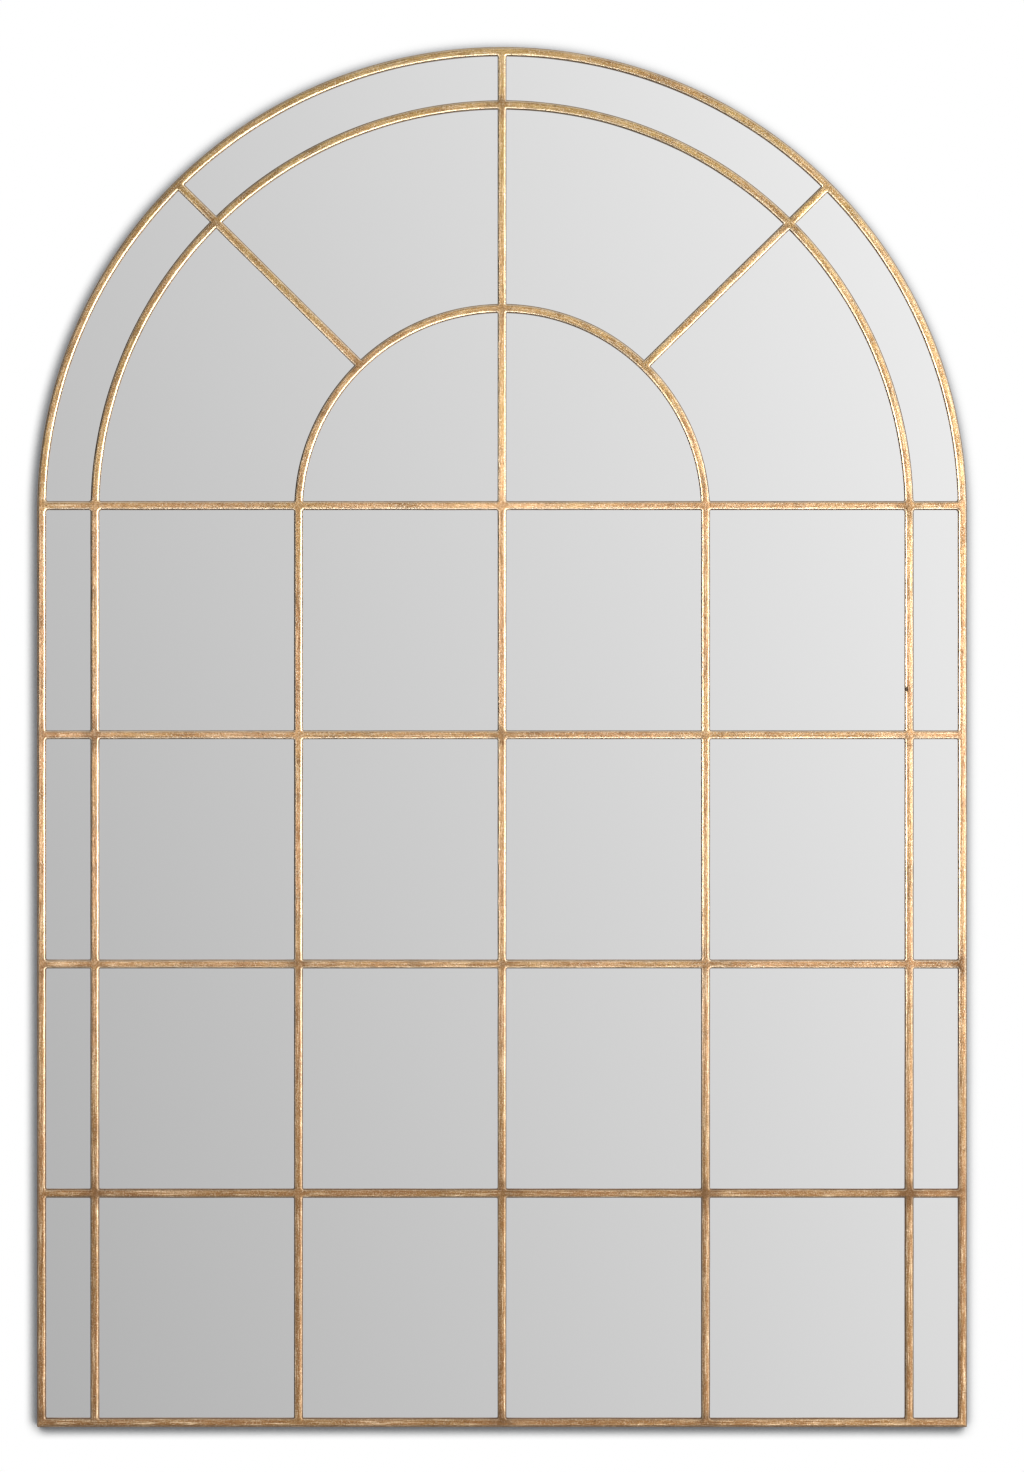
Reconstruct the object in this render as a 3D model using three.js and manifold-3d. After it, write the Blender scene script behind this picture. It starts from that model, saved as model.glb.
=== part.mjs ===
// Arched window mirror: a welded grille of gilded iron bars over one sheet of mirror glass.
// A rim of angle bar holds the glass and its backing board, which clips and hangers are screwed to.
// Millimetres. +X is right, +Z is up, and +Y goes back to the wall, so the front faces -Y.
// The origin lies on the wall, midway between the two hanger rings, level with their pivots.
// Inside the frame group, y is counted back from the bars' front face and z up from the bottom edge.

import * as THREE from 'three';
import { mergeVertices } from 'three/addons/utils/BufferGeometryUtils.js';
import Module from 'manifold-3d';

const wasm = await Module();
wasm.setup();

// Frame
const frameWidth = 1016;
const frameDepth = 25.4;
const archCentreHeight = 1000;
const wallGap = 1.6;

// Bars of the grille
const barWidth = 9.5;
const barDepth = 8;
const barArris = 2;
const weldGap = 0.3;
const borderBay = 48.75;
const springRise = 7;
const rowCount = 4;
const rayAngle = Math.PI / 4;
const webThickness = 3;

// Glass and backing board
const glassThickness = 4;
const glassArris = 0.5;
const boardThickness = 5;
const edgeClearance = 2;
const layerGap = 0.3;

// Retaining clips
const clipWidth = 14;
const clipLip = 17;
const clipFoot = 6;
const clipMetal = 1.2;
const clipBend = 2.2;
const clipScrewReach = 10.5;
const clipRimGap = 0.3;
const lowClipHeight = 110;
const highClipDrop = 250;
const archClipAngle = Math.PI / 4;

// Screws, for the clips and the hangers alike
const screwRadius = 1.6;
const screwLength = 5.4;
const screwTip = 1.4;
const screwHeadRadius = 3.2;
const screwHeadRim = 0.8;
const screwHeadHeight = 1.8;
const screwCrownRadius = 2.2;
const screwCrownHeight = 1.6;
const screwClearance = 0.3;

// Strap hangers and their rings
const hangerSpacing = 600;
const hangerDrop = 380;
const strapWidth = 12;
const strapLength = 40;
const strapMetal = 1.2;
const strapCurl = 290 * Math.PI / 180;
const upperScrewDrop = 9.5;
const lowerScrewDrop = 34;
const ringWireRadius = 1.6;
const ringHalfWidth = 14.6;
const ringShoulder = 12;
const ringCorner = 3.5;
const ringButtGap = 0.4;
const pivotClearance = 0.4;

// Wall bumpers
const bumperRadius = 8;
const bumperTipRadius = 6.5;
const bumperRound = 1.5;
const bumperInset = 45;

// Smoothness of round stretches
const archSag = 0.12;
const arrisSteps = 2;
const turnedSides = 12;
const bumperSides = 20;
const wireSides = 8;
const wireSteps = 56;
const curlSteps = 16;

// Worked out from the sizes above
const rimRadius = frameWidth / 2;
const rimInnerRadius = rimRadius - barWidth;
const midHoopRadius = rimInnerRadius - borderBay - barWidth / 2;
const innerHoopRadius = midHoopRadius / 2;
const webInnerRadius = rimRadius - webThickness;
const frameHeight = archCentreHeight + rimRadius;
const springHeight = archCentreHeight + springRise;
const railHeight = barWidth / 2;
const rowPitch = (springHeight - railHeight) / rowCount;
const glassFront = barDepth + layerGap;
const boardFront = glassFront + glassThickness + layerGap;
const boardBack = boardFront + boardThickness;
const wallPlane = frameDepth + wallGap;
const pivotHeight = frameHeight - hangerDrop;
const curlInnerRadius = ringWireRadius + pivotClearance;
const curlOuterRadius = curlInnerRadius + strapMetal;

// Finishes
const finishes = {
  goldLeaf: { color: 0xc49a5c, roughness: 0.42, metalness: 0.85 },
  mirror: { color: 0xdadada, roughness: 0.02, metalness: 1 },
  board: { color: 0x2a2826, roughness: 0.85, metalness: 0 },
  zinc: { color: 0xb4b6b8, roughness: 0.38, metalness: 0.9 },
  rubber: { color: 0x1c1c1c, roughness: 0.8, metalness: 0 },
};

function part(name, geometry, finish) {
  const mesh = new THREE.Mesh(geometry, new THREE.MeshStandardMaterial(finishes[finish]));
  mesh.name = name;
  return mesh;
}

// Joining and cutting of closed meshes

function solidOf(geometry) {
  const bare = geometry.clone();
  bare.deleteAttribute('normal');
  bare.deleteAttribute('uv');
  const joined = mergeVertices(bare);
  return new wasm.Manifold(new wasm.Mesh({
    numProp: 3,
    vertProperties: joined.attributes.position.array,
    triVerts: new Uint32Array(joined.index.array),
  }));
}

function geometryOf(solid) {
  const mesh = solid.getMesh();
  const geometry = new THREE.BufferGeometry();
  geometry.setAttribute('position', new THREE.BufferAttribute(mesh.vertProperties, 3));
  geometry.setIndex(new THREE.BufferAttribute(mesh.triVerts, 1));
  geometry.computeVertexNormals();
  return geometry;
}

function join(first, second) {
  return geometryOf(solidOf(first).add(solidOf(second)));
}

// Screw holes along Y, at points given as x and z.
function drill(geometry, points, thickness) {
  let solid = solidOf(geometry);
  for (const point of points) {
    const radius = screwRadius + screwClearance;
    const drillBit = new THREE.CylinderGeometry(radius, radius, thickness * 3, turnedSides);
    drillBit.translate(point.x, thickness / 2, point.z);
    solid = solid.subtract(solidOf(drillBit));
  }
  return geometryOf(solid);
}

// Plates and bars

// Steps round half a circle, an even number, whose chords keep within archSag of the true arc.
function stepsRound(radius) {
  return 2 * Math.ceil(Math.PI / 4 / Math.acos(1 - archSag / radius));
}

// A flat outline in x and z, given thickness back from y = 0, with its front and back edges rounded.
function plate(shape, thickness, arris, arcSteps) {
  const geometry = new THREE.ExtrudeGeometry(shape, {
    depth: thickness - 2 * arris,
    bevelEnabled: arris > 0,
    bevelThickness: arris,
    bevelSize: arris,
    bevelOffset: -arris,
    bevelSegments: arrisSteps,
    curveSegments: arcSteps / 2,
  });
  geometry.rotateX(Math.PI / 2);
  geometry.translate(0, thickness - arris, 0);
  return geometry;
}

// An upside-down U between two radii, with straight legs down to its feet.
function hoopShape(outerRadius, innerRadius, footHeight) {
  const shape = new THREE.Shape();
  shape.moveTo(innerRadius, footHeight);
  shape.lineTo(outerRadius, footHeight);
  shape.absarc(0, archCentreHeight, outerRadius, 0, Math.PI, false);
  shape.lineTo(-outerRadius, footHeight);
  shape.lineTo(-innerRadius, footHeight);
  shape.absarc(0, archCentreHeight, innerRadius, Math.PI, 0, true);
  shape.closePath();
  return shape;
}

// The arched outline of the sheets that the rim holds.
function sheetShape() {
  const radius = webInnerRadius - edgeClearance;
  const foot = webThickness + edgeClearance;
  const shape = new THREE.Shape();
  shape.moveTo(-radius, foot);
  shape.lineTo(radius, foot);
  shape.absarc(0, archCentreHeight, radius, 0, Math.PI, false);
  shape.closePath();
  return shape;
}

// The bar's section, with rounded arrises: width along x, depth back from y = 0.
function barSection() {
  const side = barWidth / 2 - barArris;
  const back = barDepth - barArris;
  const shape = new THREE.Shape();
  shape.moveTo(side, 0);
  shape.absarc(side, barArris, barArris, -Math.PI / 2, 0, false);
  shape.absarc(side, back, barArris, 0, Math.PI / 2, false);
  shape.absarc(-side, back, barArris, Math.PI / 2, Math.PI, false);
  shape.absarc(-side, barArris, barArris, Math.PI, Math.PI * 1.5, false);
  shape.closePath();
  return shape;
}

// A straight length of bar that stands on the origin along z.
function barLength(length) {
  return new THREE.ExtrudeGeometry(barSection(), {
    depth: length,
    bevelEnabled: false,
    curveSegments: arrisSteps / 2,
  });
}

// Half the width of a hoop's edge of this radius at a height: upright below the arch centre, round above.
function reachAt(radius, height) {
  const rise = Math.max(0, height - archCentreHeight);
  return Math.sqrt(radius ** 2 - rise ** 2);
}

// How far along a ray, from where it starts on the spring line, one of its sides meets a hoop's edge.
function rayReach(radius, angle, side) {
  const along = springRise * Math.cos(angle);
  const across = springRise * Math.sin(angle) + side * barWidth / 2;
  return Math.sqrt(radius ** 2 - across ** 2) - along;
}

// The rim: an angle bar, with its face to the front and its web round the outside.
function rimHoop() {
  const face = plate(hoopShape(rimRadius, rimInnerRadius, 0), barDepth, barArris, stepsRound(rimRadius));
  const webShape = hoopShape(rimRadius, webInnerRadius, 0);
  const web = plate(webShape, frameDepth - barArris, 0, stepsRound(rimRadius));
  web.translate(0, barArris, 0);
  return part('rim_hoop', join(face, web), 'goldLeaf');
}

// The foot of the rim: the same angle bar, cut to fit between the rim's legs.
function bottomRail() {
  const faceLength = 2 * (rimInnerRadius - weldGap);
  const webLength = 2 * (webInnerRadius - weldGap);
  const face = barLength(faceLength);
  face.rotateY(Math.PI / 2);
  face.translate(-faceLength / 2, 0, railHeight);
  const heel = new THREE.BoxGeometry(faceLength, frameDepth - barArris, webThickness);
  heel.translate(0, (frameDepth + barArris) / 2, webThickness / 2);
  const webFront = barDepth + weldGap;
  const web = new THREE.BoxGeometry(webLength, frameDepth - webFront, webThickness);
  web.translate(0, (frameDepth + webFront) / 2, webThickness / 2);
  return part('bottom_rail', join(join(face, heel), web), 'goldLeaf');
}

function grilleHoop(name, radius) {
  const shape = hoopShape(radius + barWidth / 2, radius - barWidth / 2, barWidth + weldGap);
  return part(name, plate(shape, barDepth, barArris, stepsRound(radius)), 'goldLeaf');
}

// The centre upright, from the bottom rail to the crown of the inner hoop.
function centreBar() {
  const foot = barWidth + weldGap;
  const top = springHeight + rayReach(innerHoopRadius - barWidth / 2, 0, 1) - weldGap;
  const bar = part('centre_bar', barLength(top - foot), 'goldLeaf');
  bar.position.z = foot;
  return bar;
}

// One ray, from the hoop inside it to the hoop or rim outside it.
function ray(name, angle, insideRadius, outsideRadius) {
  const start = Math.max(rayReach(insideRadius, angle, 1), rayReach(insideRadius, angle, -1)) + weldGap;
  const end = Math.min(rayReach(outsideRadius, angle, 1), rayReach(outsideRadius, angle, -1)) - weldGap;
  const bar = part(name, barLength(end - start), 'goldLeaf');
  bar.rotation.y = angle;
  bar.position.set(start * Math.sin(angle), 0, springHeight + start * Math.cos(angle));
  return bar;
}

function rays() {
  const bars = [];
  const angles = { left: -rayAngle, centre: 0, right: rayAngle };
  for (const [side, angle] of Object.entries(angles)) {
    bars.push(ray(`ray_${side}_inner`, angle, innerHoopRadius + barWidth / 2, midHoopRadius - barWidth / 2));
    bars.push(ray(`ray_${side}_outer`, angle, midHoopRadius + barWidth / 2, rimInnerRadius));
  }
  return bars;
}

// One row of crossbars, each cut to fit between two neighbouring uprights.
function crossbarRow(rowName, height) {
  const lower = height - barWidth / 2;
  const upper = height + barWidth / 2;
  const outward = [
    [barWidth / 2, reachAt(innerHoopRadius - barWidth / 2, upper)],
    [reachAt(innerHoopRadius + barWidth / 2, lower), reachAt(midHoopRadius - barWidth / 2, upper)],
    [reachAt(midHoopRadius + barWidth / 2, lower), reachAt(rimInnerRadius, upper)],
  ];
  const bars = [];
  outward.forEach(([near, far], bay) => {
    const length = far - near - 2 * weldGap;
    for (const [side, start] of [['left', -far + weldGap], ['right', near + weldGap]]) {
      const bar = part(`${rowName}_${side}_${bay + 1}`, barLength(length), 'goldLeaf');
      bar.rotation.y = Math.PI / 2;
      bar.position.set(start, 0, height);
      bars.push(bar);
    }
  });
  return bars;
}

function crossbars() {
  const bars = [];
  for (let row = 1; row < rowCount; row += 1) {
    bars.push(...crossbarRow(`crossbar_${row}`, railHeight + row * rowPitch));
  }
  bars.push(...crossbarRow('spring_bar', springHeight));
  return bars;
}

// Glass and backing board

function mirrorGlass() {
  const sheet = plate(sheetShape(), glassThickness, glassArris, stepsRound(rimRadius));
  const glass = part('mirror_glass', sheet, 'mirror');
  glass.position.y = glassFront;
  return glass;
}

function backingBoard(screwHoles) {
  const blank = plate(sheetShape(), boardThickness, 0, stepsRound(rimRadius));
  const board = part('backing_board', drill(blank, screwHoles, boardThickness), 'board');
  board.position.y = boardFront;
  return board;
}

// A screw driven towards -y, with the underside of its head at the origin.
function screw(name) {
  const profile = [
    new THREE.Vector2(0, -screwLength),
    new THREE.Vector2(screwRadius, screwTip - screwLength),
    new THREE.Vector2(screwRadius, 0),
    new THREE.Vector2(screwHeadRadius, 0),
    new THREE.Vector2(screwHeadRadius, screwHeadRim),
    new THREE.Vector2(screwCrownRadius, screwCrownHeight),
    new THREE.Vector2(0, screwHeadHeight),
  ];
  return part(name, new THREE.LatheGeometry(profile, turnedSides), 'zinc');
}

// Retaining clips

// The points on the rim that hold a clip: a centre of the rim's outline and an angle out from it.
function clipStations() {
  const lowHeight = lowClipHeight;
  const highHeight = archCentreHeight - highClipDrop;
  return [
    { name: 'left_low', height: lowHeight, angle: Math.PI },
    { name: 'left_high', height: highHeight, angle: Math.PI },
    { name: 'left_arch', height: archCentreHeight, angle: Math.PI / 2 + archClipAngle },
    { name: 'right_low', height: lowHeight, angle: 0 },
    { name: 'right_high', height: highHeight, angle: 0 },
    { name: 'right_arch', height: archCentreHeight, angle: Math.PI / 2 - archClipAngle },
  ];
}

function clipScrewPoint(station) {
  const radius = webInnerRadius - clipRimGap - clipScrewReach;
  return {
    x: radius * Math.cos(station.angle),
    z: station.height + radius * Math.sin(station.angle),
  };
}

// A bent strip: its foot stands against the web and its lip lies on the board, towards +x.
function clipGeometry() {
  const shape = new THREE.Shape();
  shape.moveTo(clipLip, clipMetal);
  shape.lineTo(clipLip, 0);
  shape.absarc(clipBend, clipBend, clipBend, Math.PI * 1.5, Math.PI, true);
  shape.lineTo(0, clipFoot);
  shape.lineTo(clipMetal, clipFoot);
  shape.absarc(clipBend, clipBend, clipBend - clipMetal, Math.PI, Math.PI * 1.5, false);
  shape.closePath();
  const strip = new THREE.ExtrudeGeometry(shape, {
    depth: clipWidth,
    bevelEnabled: false,
    curveSegments: arrisSteps,
  });
  strip.translate(0, 0, -clipWidth / 2);
  return drill(strip, [{ x: clipScrewReach, z: 0 }], clipMetal);
}

function clips() {
  const groups = [];
  for (const station of clipStations()) {
    const radius = webInnerRadius - clipRimGap;
    const clip = part(`clip_${station.name}`, clipGeometry(), 'zinc');
    const clipScrew = screw(`clip_screw_${station.name}`);
    clipScrew.position.set(clipScrewReach, clipMetal, 0);
    const group = new THREE.Group();
    group.add(clip, clipScrew);
    group.rotation.y = Math.PI - station.angle;
    group.position.set(
      radius * Math.cos(station.angle),
      boardBack,
      station.height + radius * Math.sin(station.angle),
    );
    groups.push(group);
  }
  return groups;
}

// Hangers

// The strap seen from its side: a leaf on the board that curls round the ring's straight bar.
function strapProfile() {
  const shape = new THREE.Shape();
  shape.moveTo(strapMetal, -strapLength);
  shape.lineTo(0, -strapLength);
  shape.absarc(curlOuterRadius, 0, curlOuterRadius, Math.PI, Math.PI - strapCurl, true);
  shape.absarc(curlOuterRadius, 0, curlInnerRadius, Math.PI - strapCurl, Math.PI, false);
  shape.closePath();
  return shape;
}

// The strap seen from the back: square at the curl, round at its lower end.
function strapOutline() {
  const half = strapWidth / 2;
  const shape = new THREE.Shape();
  shape.moveTo(half, 2 * curlOuterRadius);
  shape.lineTo(-half, 2 * curlOuterRadius);
  shape.absarc(0, half - strapLength, half, Math.PI, Math.PI * 2, false);
  shape.closePath();
  return shape;
}

function strapGeometry() {
  const strip = new THREE.ExtrudeGeometry(strapProfile(), {
    depth: strapWidth,
    bevelEnabled: false,
    curveSegments: curlSteps / 2,
  });
  strip.translate(0, 0, -strapWidth / 2);
  strip.rotateX(Math.PI / 2);
  strip.rotateZ(Math.PI / 2);
  const blank = plate(strapOutline(), 4 * curlOuterRadius, 0, turnedSides);
  blank.translate(0, -curlOuterRadius, 0);
  const leaf = geometryOf(solidOf(strip).intersect(solidOf(blank)));
  return drill(leaf, [{ x: 0, z: -upperScrewDrop }, { x: 0, z: -lowerScrewDrop }], strapMetal);
}

// The middle line of the ring's wire, which starts and ends inside the strap's curl.
class RingLine extends THREE.Curve {
  constructor() {
    super();
    const side = ringHalfWidth - ringCorner;
    this.outline = new THREE.Path();
    this.outline.moveTo(ringButtGap / 2, 0);
    this.outline.lineTo(side, 0);
    this.outline.absarc(side, -ringCorner, ringCorner, Math.PI / 2, 0, true);
    this.outline.absarc(0, -ringShoulder, ringHalfWidth, 0, -Math.PI, true);
    this.outline.absarc(-side, -ringCorner, ringCorner, Math.PI, Math.PI / 2, true);
    this.outline.lineTo(-ringButtGap / 2, 0);
  }

  getPoint(t, target = new THREE.Vector3()) {
    const point = this.outline.getPoint(t);
    return target.set(point.x, 0, point.y);
  }
}

function ringGeometry() {
  const section = new THREE.Shape();
  section.absarc(0, 0, ringWireRadius, 0, 2 * Math.PI, false);
  return new THREE.ExtrudeGeometry(section, {
    steps: wireSteps,
    extrudePath: new RingLine(),
    curveSegments: wireSides / 2,
  });
}

function hanger(side, x) {
  const strap = part(`hanger_strap_${side}`, strapGeometry(), 'zinc');
  const ring = part(`hanger_ring_${side}`, ringGeometry(), 'zinc');
  ring.position.y = curlOuterRadius;
  const upperScrew = screw(`hanger_screw_${side}_upper`);
  upperScrew.position.set(0, strapMetal, -upperScrewDrop);
  const lowerScrew = screw(`hanger_screw_${side}_lower`);
  lowerScrew.position.set(0, strapMetal, -lowerScrewDrop);
  const group = new THREE.Group();
  group.add(strap, ring, upperScrew, lowerScrew);
  group.position.set(x, boardBack, pivotHeight);
  return group;
}

function hangerScrewPoints() {
  const points = [];
  for (const x of [-hangerSpacing / 2, hangerSpacing / 2]) {
    points.push({ x, z: pivotHeight - upperScrewDrop });
    points.push({ x, z: pivotHeight - lowerScrewDrop });
  }
  return points;
}

// A rubber foot on the board's lower corner, which keeps the rim off the wall.
function bumper(side, x) {
  const height = wallPlane - boardBack;
  const profile = [
    new THREE.Vector2(0, 0),
    new THREE.Vector2(bumperRadius, 0),
    new THREE.Vector2(bumperTipRadius, height - bumperRound),
    new THREE.Vector2(bumperTipRadius - bumperRound, height),
    new THREE.Vector2(0, height),
  ];
  const foot = part(`wall_bumper_${side}`, new THREE.LatheGeometry(profile, bumperSides), 'rubber');
  foot.position.set(x, boardBack, webThickness + bumperInset);
  return foot;
}

const frame = new THREE.Group();
frame.position.set(0, -wallPlane, -pivotHeight);
frame.add(rimHoop(), bottomRail());
frame.add(grilleHoop('mid_hoop', midHoopRadius), grilleHoop('inner_hoop', innerHoopRadius));
frame.add(centreBar(), ...rays(), ...crossbars());
frame.add(mirrorGlass());
frame.add(backingBoard([...clipStations().map(clipScrewPoint), ...hangerScrewPoints()]));
frame.add(...clips());
frame.add(hanger('left', -hangerSpacing / 2), hanger('right', hangerSpacing / 2));
frame.add(bumper('left', bumperInset - webInnerRadius), bumper('right', webInnerRadius - bumperInset));

const mirror = new THREE.Group();
mirror.add(frame);

export default mirror;
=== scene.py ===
"""Looks of the arched window mirror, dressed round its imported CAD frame.

Metres. +X is right, +Z is up, the front faces -Y and the wall is the plane y = 0.
The bars are made anew as one welded, gilded grille, and the screws, rings and bumpers are made
finer. Glass, board, clips and straps are the frame's own, with better materials.
"""

import math
import random
from typing import NamedTuple

import bmesh
import bpy
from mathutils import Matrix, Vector, noise
from mathutils.geometry import delaunay_2d_cdt
from mathutils.kdtree import KDTree


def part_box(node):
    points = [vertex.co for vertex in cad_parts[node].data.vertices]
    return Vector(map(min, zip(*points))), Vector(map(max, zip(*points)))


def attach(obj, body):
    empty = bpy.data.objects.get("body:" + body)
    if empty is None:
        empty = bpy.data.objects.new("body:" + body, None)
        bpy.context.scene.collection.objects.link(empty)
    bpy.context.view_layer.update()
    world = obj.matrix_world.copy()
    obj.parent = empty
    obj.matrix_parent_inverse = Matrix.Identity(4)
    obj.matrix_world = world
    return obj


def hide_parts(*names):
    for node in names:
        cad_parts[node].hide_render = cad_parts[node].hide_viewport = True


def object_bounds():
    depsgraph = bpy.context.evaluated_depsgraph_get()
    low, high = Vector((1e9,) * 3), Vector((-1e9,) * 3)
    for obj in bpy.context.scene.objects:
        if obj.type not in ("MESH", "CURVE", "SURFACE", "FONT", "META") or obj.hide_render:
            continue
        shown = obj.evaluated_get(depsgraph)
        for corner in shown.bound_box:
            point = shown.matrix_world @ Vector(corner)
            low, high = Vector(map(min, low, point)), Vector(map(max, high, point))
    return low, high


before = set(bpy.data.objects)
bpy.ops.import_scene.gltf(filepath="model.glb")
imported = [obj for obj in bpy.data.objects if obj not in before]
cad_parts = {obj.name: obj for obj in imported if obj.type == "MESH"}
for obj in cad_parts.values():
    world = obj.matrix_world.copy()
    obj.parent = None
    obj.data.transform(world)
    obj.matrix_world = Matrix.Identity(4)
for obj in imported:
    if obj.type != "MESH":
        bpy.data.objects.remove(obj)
cad_low, cad_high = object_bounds()

MM = 0.001
UP = math.pi / 2
ROOT_BODY = "mirror"
SCREW_TURN_SEED = 7


# ---------------------------------------------------------------- sizes read from the frame

def middle(node):
    low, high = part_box(node)
    return (low + high) / 2


rim_low, rim_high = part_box("rim_hoop")
rail_low, rail_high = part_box("bottom_rail")
bar_low, bar_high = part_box("centre_bar")

front_y = rim_low.y
back_y = rim_high.y
foot_z = rim_low.z
rim_radius = rim_high.x
arch_z = rim_high.z - rim_radius
bar_width = rail_high.z - rail_low.z
bar_depth = bar_high.y - bar_low.y
half_bar = bar_width / 2
mid_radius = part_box("mid_hoop")[1].x - half_bar
inner_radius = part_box("inner_hoop")[1].x - half_bar
spring_z = middle("spring_bar_left_1").z
row_heights = [middle(f"crossbar_{row}_left_1").z for row in (1, 2, 3)]
object_middle = (cad_low + cad_high) / 2

# Sizes that the frame's boxes don't give
# The rubbed arris, from the face to the bar's side: mm in from the side, and mm below the face
ARRIS_PROFILE = [
    (2.8, 0.0), (2.5, 0.04), (2.2, 0.15), (1.15, 0.55), (0.6, 0.86), (0.16, 1.35), (0.0, 1.9),
]
WEB = 3.0 * MM
FOOT_CORNER = 0.6 * MM
LEAST_FOOT_CORNER = 0.2 * MM
# The welded rays lean a little off 45 degrees from upright, each its own way
LEFT_RAY_ANGLE = math.radians(45.25)
RIGHT_RAY_ANGLE = math.radians(45.55)


# ---------------------------------------------------------------- small helpers

def linear(red, green, blue):
    """An 8-bit display colour as linear RGBA."""
    channels = []
    for value in (red, green, blue):
        share = value / 255
        channels.append(share / 12.92 if share <= 0.04045 else ((share + 0.055) / 1.055) ** 2.4)
    return (*channels, 1.0)


WHITE = linear(255, 255, 255)


def fade(value, full, gone):
    """1 up to full, falling smoothly to 0 at gone."""
    share = min(max((gone - value) / (gone - full), 0.0), 1.0)
    return share * share * (3 - 2 * share)


def plan_noise(point, scale, layer):
    """Smooth noise between -1 and 1 over the plan. Each layer has a pattern of its own."""
    return noise.noise(Vector((point.x * scale, layer, point.y * scale)))


def mesh_from(name, vertices, faces, sharp_angle):
    """A smooth-shaded mesh, its normals outward, and sharp where it bends more than an angle."""
    mesh = bpy.data.meshes.new(name)
    mesh.from_pydata(vertices, [], faces)
    work = bmesh.new()
    work.from_mesh(mesh)
    bmesh.ops.recalc_face_normals(work, faces=work.faces)
    work.to_mesh(mesh)
    work.free()
    mesh.shade_smooth()
    mesh.set_sharp_from_angle(angle=sharp_angle)
    return mesh


def link_object(name, mesh):
    obj = bpy.data.objects.new(name, mesh)
    bpy.context.scene.collection.objects.link(obj)
    return obj


# ---------------------------------------------------------------- the grille in plan

# An outline is a ring of corners, anticlockwise. Each corner is its point in plan, as x and z,
# and the kind of side that runs from it to the next.

ARCH = Vector((0.0, arch_z))
STRAIGHT_ACROSS = "crossbar or ray"
STRAIGHT_UP = "upright"
BENT = "hoop"

# How long the stretches are that a side is cut into, and how many make a fillet
STRETCH = 5.0 * MM
FILLET_STEPS = 5
# A Bezier curve's handle for a quarter circle, as a share of the radius
ROUND_HANDLE = 0.5523
# How far a bar counts as running across: fully, not at all, or as much as not in a weld's corner
ACROSS = 1.0
UPRIGHT = 0.0
CORNER = 0.5

# Fillets of weld metal and gilding: at the rays, at the rim's spring line, and anywhere else
RAY_FILLET = 0.7 * MM
BORDER_FILLET = 2.4 * MM
PLAIN_FILLET = 1.4 * MM
FILLET_UNEVEN = 0.5 * MM
FILLET_NOISE_SCALE = 31.0
FILLET_NOISE_LAYER = 3.0


def sweep(start, end):
    """The angle from start to end round the arch centre, the short way."""
    one = math.atan2(start.y - ARCH.y, start.x - ARCH.x)
    two = math.atan2(end.y - ARCH.y, end.x - ARCH.x)
    return (two - one + math.pi) % (2 * math.pi) - math.pi


def side_length(start, end, kind):
    if kind == BENT:
        return (start - ARCH).length * abs(sweep(start, end))
    return (end - start).length


def side_point(start, end, kind, share):
    """The point a share of the way along a side, and the side's direction there."""
    if kind != BENT:
        return start.lerp(end, share), (end - start).normalized()
    turn = sweep(start, end)
    angle = math.atan2(start.y - ARCH.y, start.x - ARCH.x) + turn * share
    radius = (start - ARCH).length
    out = Vector((math.cos(angle), math.sin(angle)))
    along = Vector((-out.y, out.x)) * math.copysign(1, turn)
    return ARCH + out * radius, along


def bezier(a, b, c, d, t):
    """The point at t, from 0 to 1, of the curve from a to d with handles b and c."""
    s = 1 - t
    return a * s ** 3 + b * 3 * s * s * t + c * 3 * s * t * t + d * t ** 3


def side_steps(corners):
    """How many stretches each side of an outline is cut into."""
    following = corners[1:] + corners[:1]
    steps = []
    for (start, kind), (end, _) in zip(corners, following):
        steps.append(max(2, round(side_length(start, end, kind) / STRETCH)))
    return steps


def rounded_loop(corners, steps, fillet_at):
    """The points of an outline with filleted corners, and how far the bar at each runs across."""
    points = []
    across = []
    count = len(corners)
    for index, (start, kind) in enumerate(corners):
        end, next_kind = corners[(index + 1) % count]
        beyond = corners[(index + 2) % count][0]
        length = side_length(start, end, kind)
        next_length = side_length(end, beyond, next_kind)
        near = fillet_at(start) / length
        far = 1 - fillet_at(end) / length
        for step in range(steps[index] + 1):
            share = near + (far - near) * step / steps[index]
            points.append(side_point(start, end, kind, share)[0])
            across.append(ACROSS if kind == STRAIGHT_ACROSS else UPRIGHT)
        fillet = fillet_at(end)
        last, into = side_point(start, end, kind, far)
        first, away = side_point(end, beyond, next_kind, fillet / next_length)
        handle = ROUND_HANDLE * fillet
        for step in range(1, FILLET_STEPS):
            points.append(bezier(last, last + into * handle, first - away * handle, first,
                                 step / FILLET_STEPS))
            across.append(CORNER)
    return points, across


def left_normals(points):
    """Unit normals to the left of a closed ring of points."""
    normals = []
    count = len(points)
    for index, point in enumerate(points):
        into = (point - points[index - 1]).normalized()
        away = (points[(index + 1) % count] - point).normalized()
        along = (into + away).normalized()
        normals.append(Vector((-along.y, along.x)))
    return normals


def reach(line, radius):
    """Where a line from (start, direction) meets a circle round the arch centre."""
    start, direction = line
    offset = start - ARCH
    b = offset.dot(direction)
    c = offset.length_squared - radius ** 2
    return start + direction * (math.sqrt(b * b - c) - b)


def ray_edge(angle, side):
    """One edge of the ray at an angle from upright: side is -1 for its left and 1 for its right."""
    direction = Vector((math.sin(angle), math.cos(angle)))
    across = Vector((math.cos(angle), -math.sin(angle)))
    return Vector((0.0, spring_z)) + across * side * half_bar, direction


def sector(first, second, inner, outer):
    """A pane between two edges and two hoops; first is the edge on its right."""
    return [
        (reach(first, inner), STRAIGHT_ACROSS),
        (reach(first, outer), BENT),
        (reach(second, outer), STRAIGHT_ACROSS),
        (reach(second, inner), BENT),
    ]


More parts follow.
